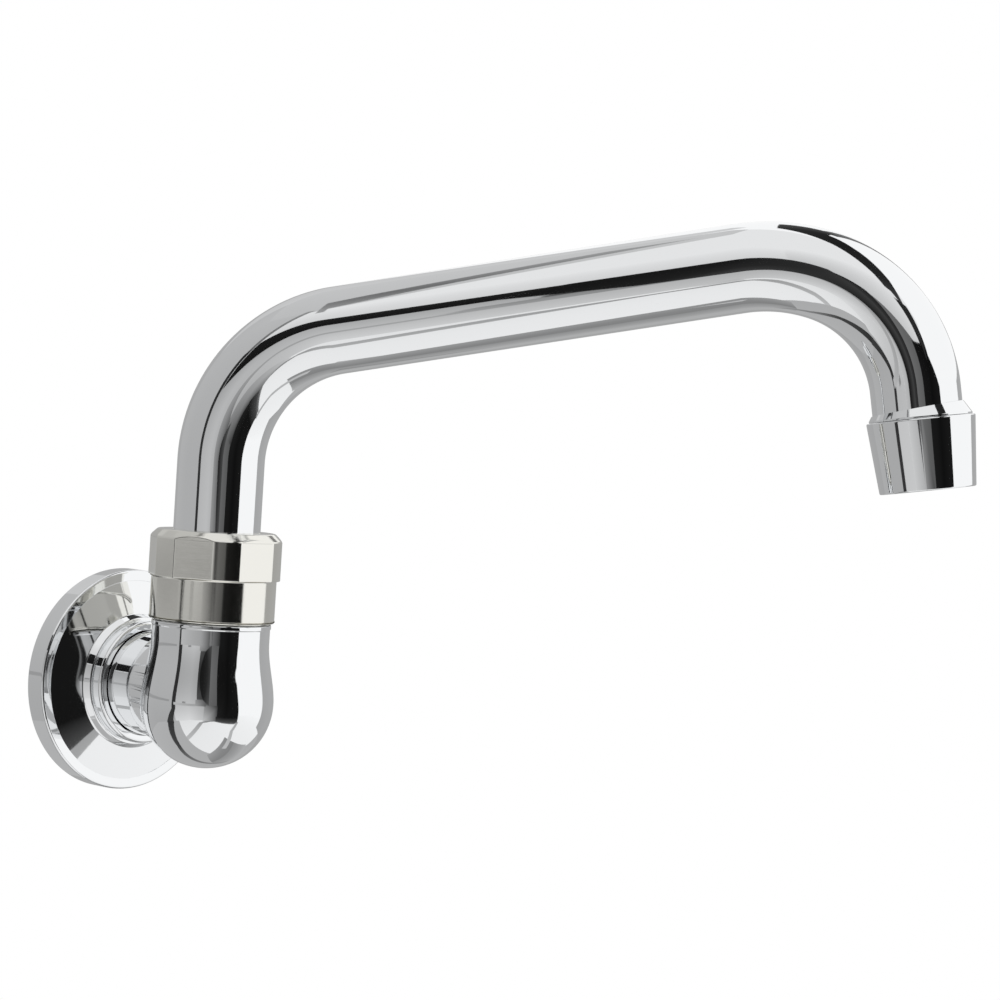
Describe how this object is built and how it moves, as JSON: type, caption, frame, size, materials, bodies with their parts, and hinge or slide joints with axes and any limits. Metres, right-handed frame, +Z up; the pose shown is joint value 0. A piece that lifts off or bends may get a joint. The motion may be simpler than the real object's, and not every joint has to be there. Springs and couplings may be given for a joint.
{
  "type": "wall faucet",
  "caption": "Single-inlet wall faucet: round flange, short leg, elbow with a coupling nut, and a bent swing spout with an aerator.",
  "frame": {"origin": "centre of the wall flange's back face, on the axis of the inlet leg", "axes": "+Z up, -Y straight out of the wall, +X to the right for someone who faces the wall"},
  "size_m": [0.1649, 0.222, 0.1782],
  "materials": {
    "chrome": "polished chrome plate",
    "nickel": "satin nickel plate",
    "brass": "machined",
    "stainless": "satin",
    "rubber": "matt",
    "acetal": "smooth moulded",
    "grey_plastic": "smooth moulded"
  },
  "bodies": {
    "faucet_body": {"wall_flange": "chrome", "flange_gasket": "rubber", "flange_collar": "chrome", "collar_set_screw": "stainless", "inlet_washer": "rubber", "inlet_screen": "stainless", "elbow_body": "chrome", "coupling_nut": "nickel", "lower_bearing_washer": "acetal", "upper_bearing_washer": "acetal"},
    "spout": {"swivel_foot": "brass", "stem_o_ring_upper": "rubber", "stem_o_ring_lower": "rubber", "spout_tube": "chrome", "outlet_bush": "chrome", "aerator_housing": "chrome", "aerator_washer": "rubber", "aerator_dome_screen": "stainless", "aerator_flow_disc": "acetal", "aerator_mixer": "grey_plastic", "outlet_screen_lower": "stainless", "outlet_screen_upper": "stainless"}
  },
  "joints": [
    {"name": "spout_swivel", "type": "hinge", "parent": "faucet_body", "child": "spout", "pos_m": [0, -0.0425, 0.038], "axis": [0, 0, 1], "range_deg": [-130.5, 59.5]}
  ]
}
